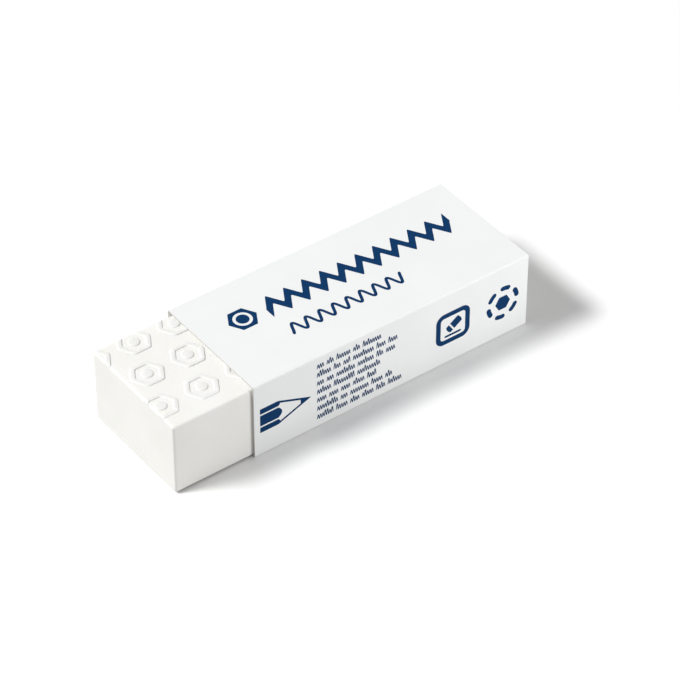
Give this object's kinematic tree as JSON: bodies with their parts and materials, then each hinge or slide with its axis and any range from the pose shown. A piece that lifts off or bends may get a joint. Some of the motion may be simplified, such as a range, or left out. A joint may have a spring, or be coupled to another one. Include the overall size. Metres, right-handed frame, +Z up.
{
  "type": "plastic eraser",
  "caption": "Soft white block eraser with a low raised pattern on top, partly pushed out of the folded card sleeve that it slides through.",
  "frame": {"origin": "middle of the whole eraser, at the height of the surface that it stands on", "axes": "+X along the block, from its bare working end to the far end of the sleeve; +Z up"},
  "size_m": [0.0656, 0.0222, 0.0138],
  "materials": {
    "vinyl": "matte",
    "card": "satin"
  },
  "bodies": {
    "sleeve": {"card_sleeve": "card"},
    "eraser": {"eraser_block": "vinyl"}
  },
  "joints": [
    {"name": "block_slide", "type": "slide", "parent": "sleeve", "child": "eraser", "axis": [1, 0, 0], "range_m": [-0.0511, 0.0139]}
  ]
}
